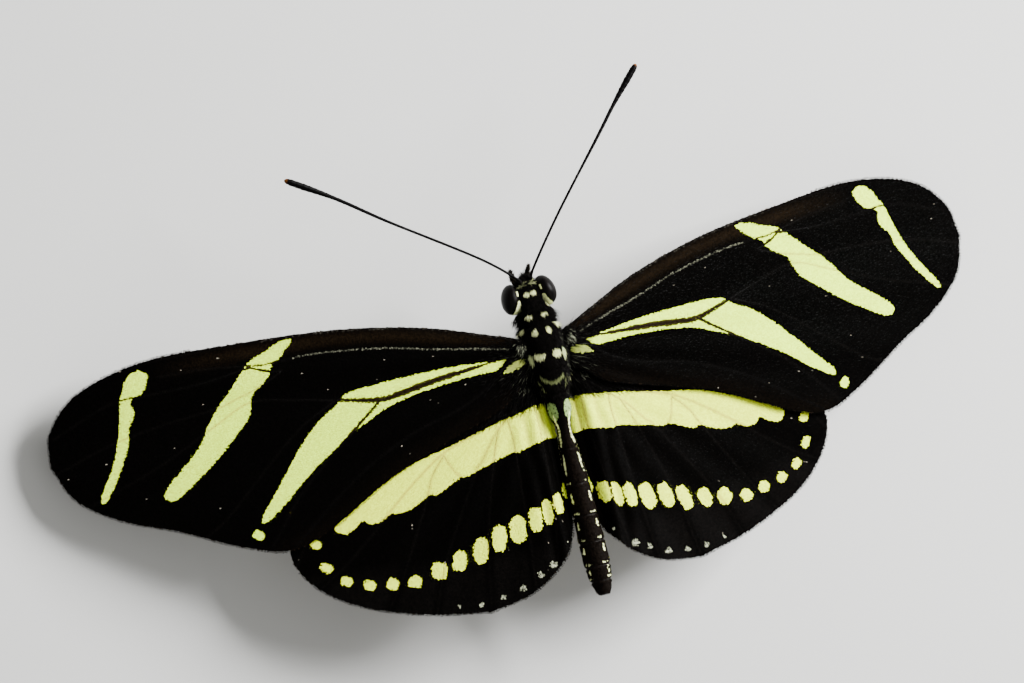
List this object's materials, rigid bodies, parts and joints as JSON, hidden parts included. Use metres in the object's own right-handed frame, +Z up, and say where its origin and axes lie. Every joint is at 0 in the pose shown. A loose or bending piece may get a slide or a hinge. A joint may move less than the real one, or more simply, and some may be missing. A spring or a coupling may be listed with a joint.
{
  "type": "zebra longwing butterfly",
  "caption": "Life-size still butterfly, black with pale yellow wing stripes, wings spread and gently drooping, standing on its walking legs.",
  "frame": {"origin": "centre of the footprint of the bounding box, on the floor", "axes": "the head points along -Y, the butterfly's left side is +X, +Z is up"},
  "size_m": [0.089, 0.0451, 0.013],
  "materials": {
    "body_scales": "soft black hair and scales with cream spots",
    "wing_scales": "matt black wing scales with pale yellow stripes and spots",
    "eye": "dark grey, glossy and finely faceted",
    "antenna": "black, finely ringed, with orange-brown tips",
    "proboscis": "dark brown, coiled, satin",
    "leg": "black scales with pale lines"
  },
  "bodies": {
    "root": {"head": "body_scales", "neck": "body_scales", "thorax": "body_scales", "abdomen": "body_scales", "eye_left": "eye", "eye_right": "eye", "palp_left": "body_scales", "palp_right": "body_scales", "proboscis": "proboscis", "antenna_left": "antenna", "antenna_right": "antenna", "forewing_left": "wing_scales", "forewing_right": "wing_scales", "hindwing_left": "wing_scales", "hindwing_right": "wing_scales", "foreleg_left": "leg", "foreleg_right": "leg", "midleg_left": "leg", "midleg_right": "leg", "hindleg_left": "leg", "hindleg_right": "leg"}
  },
  "joints": []
}
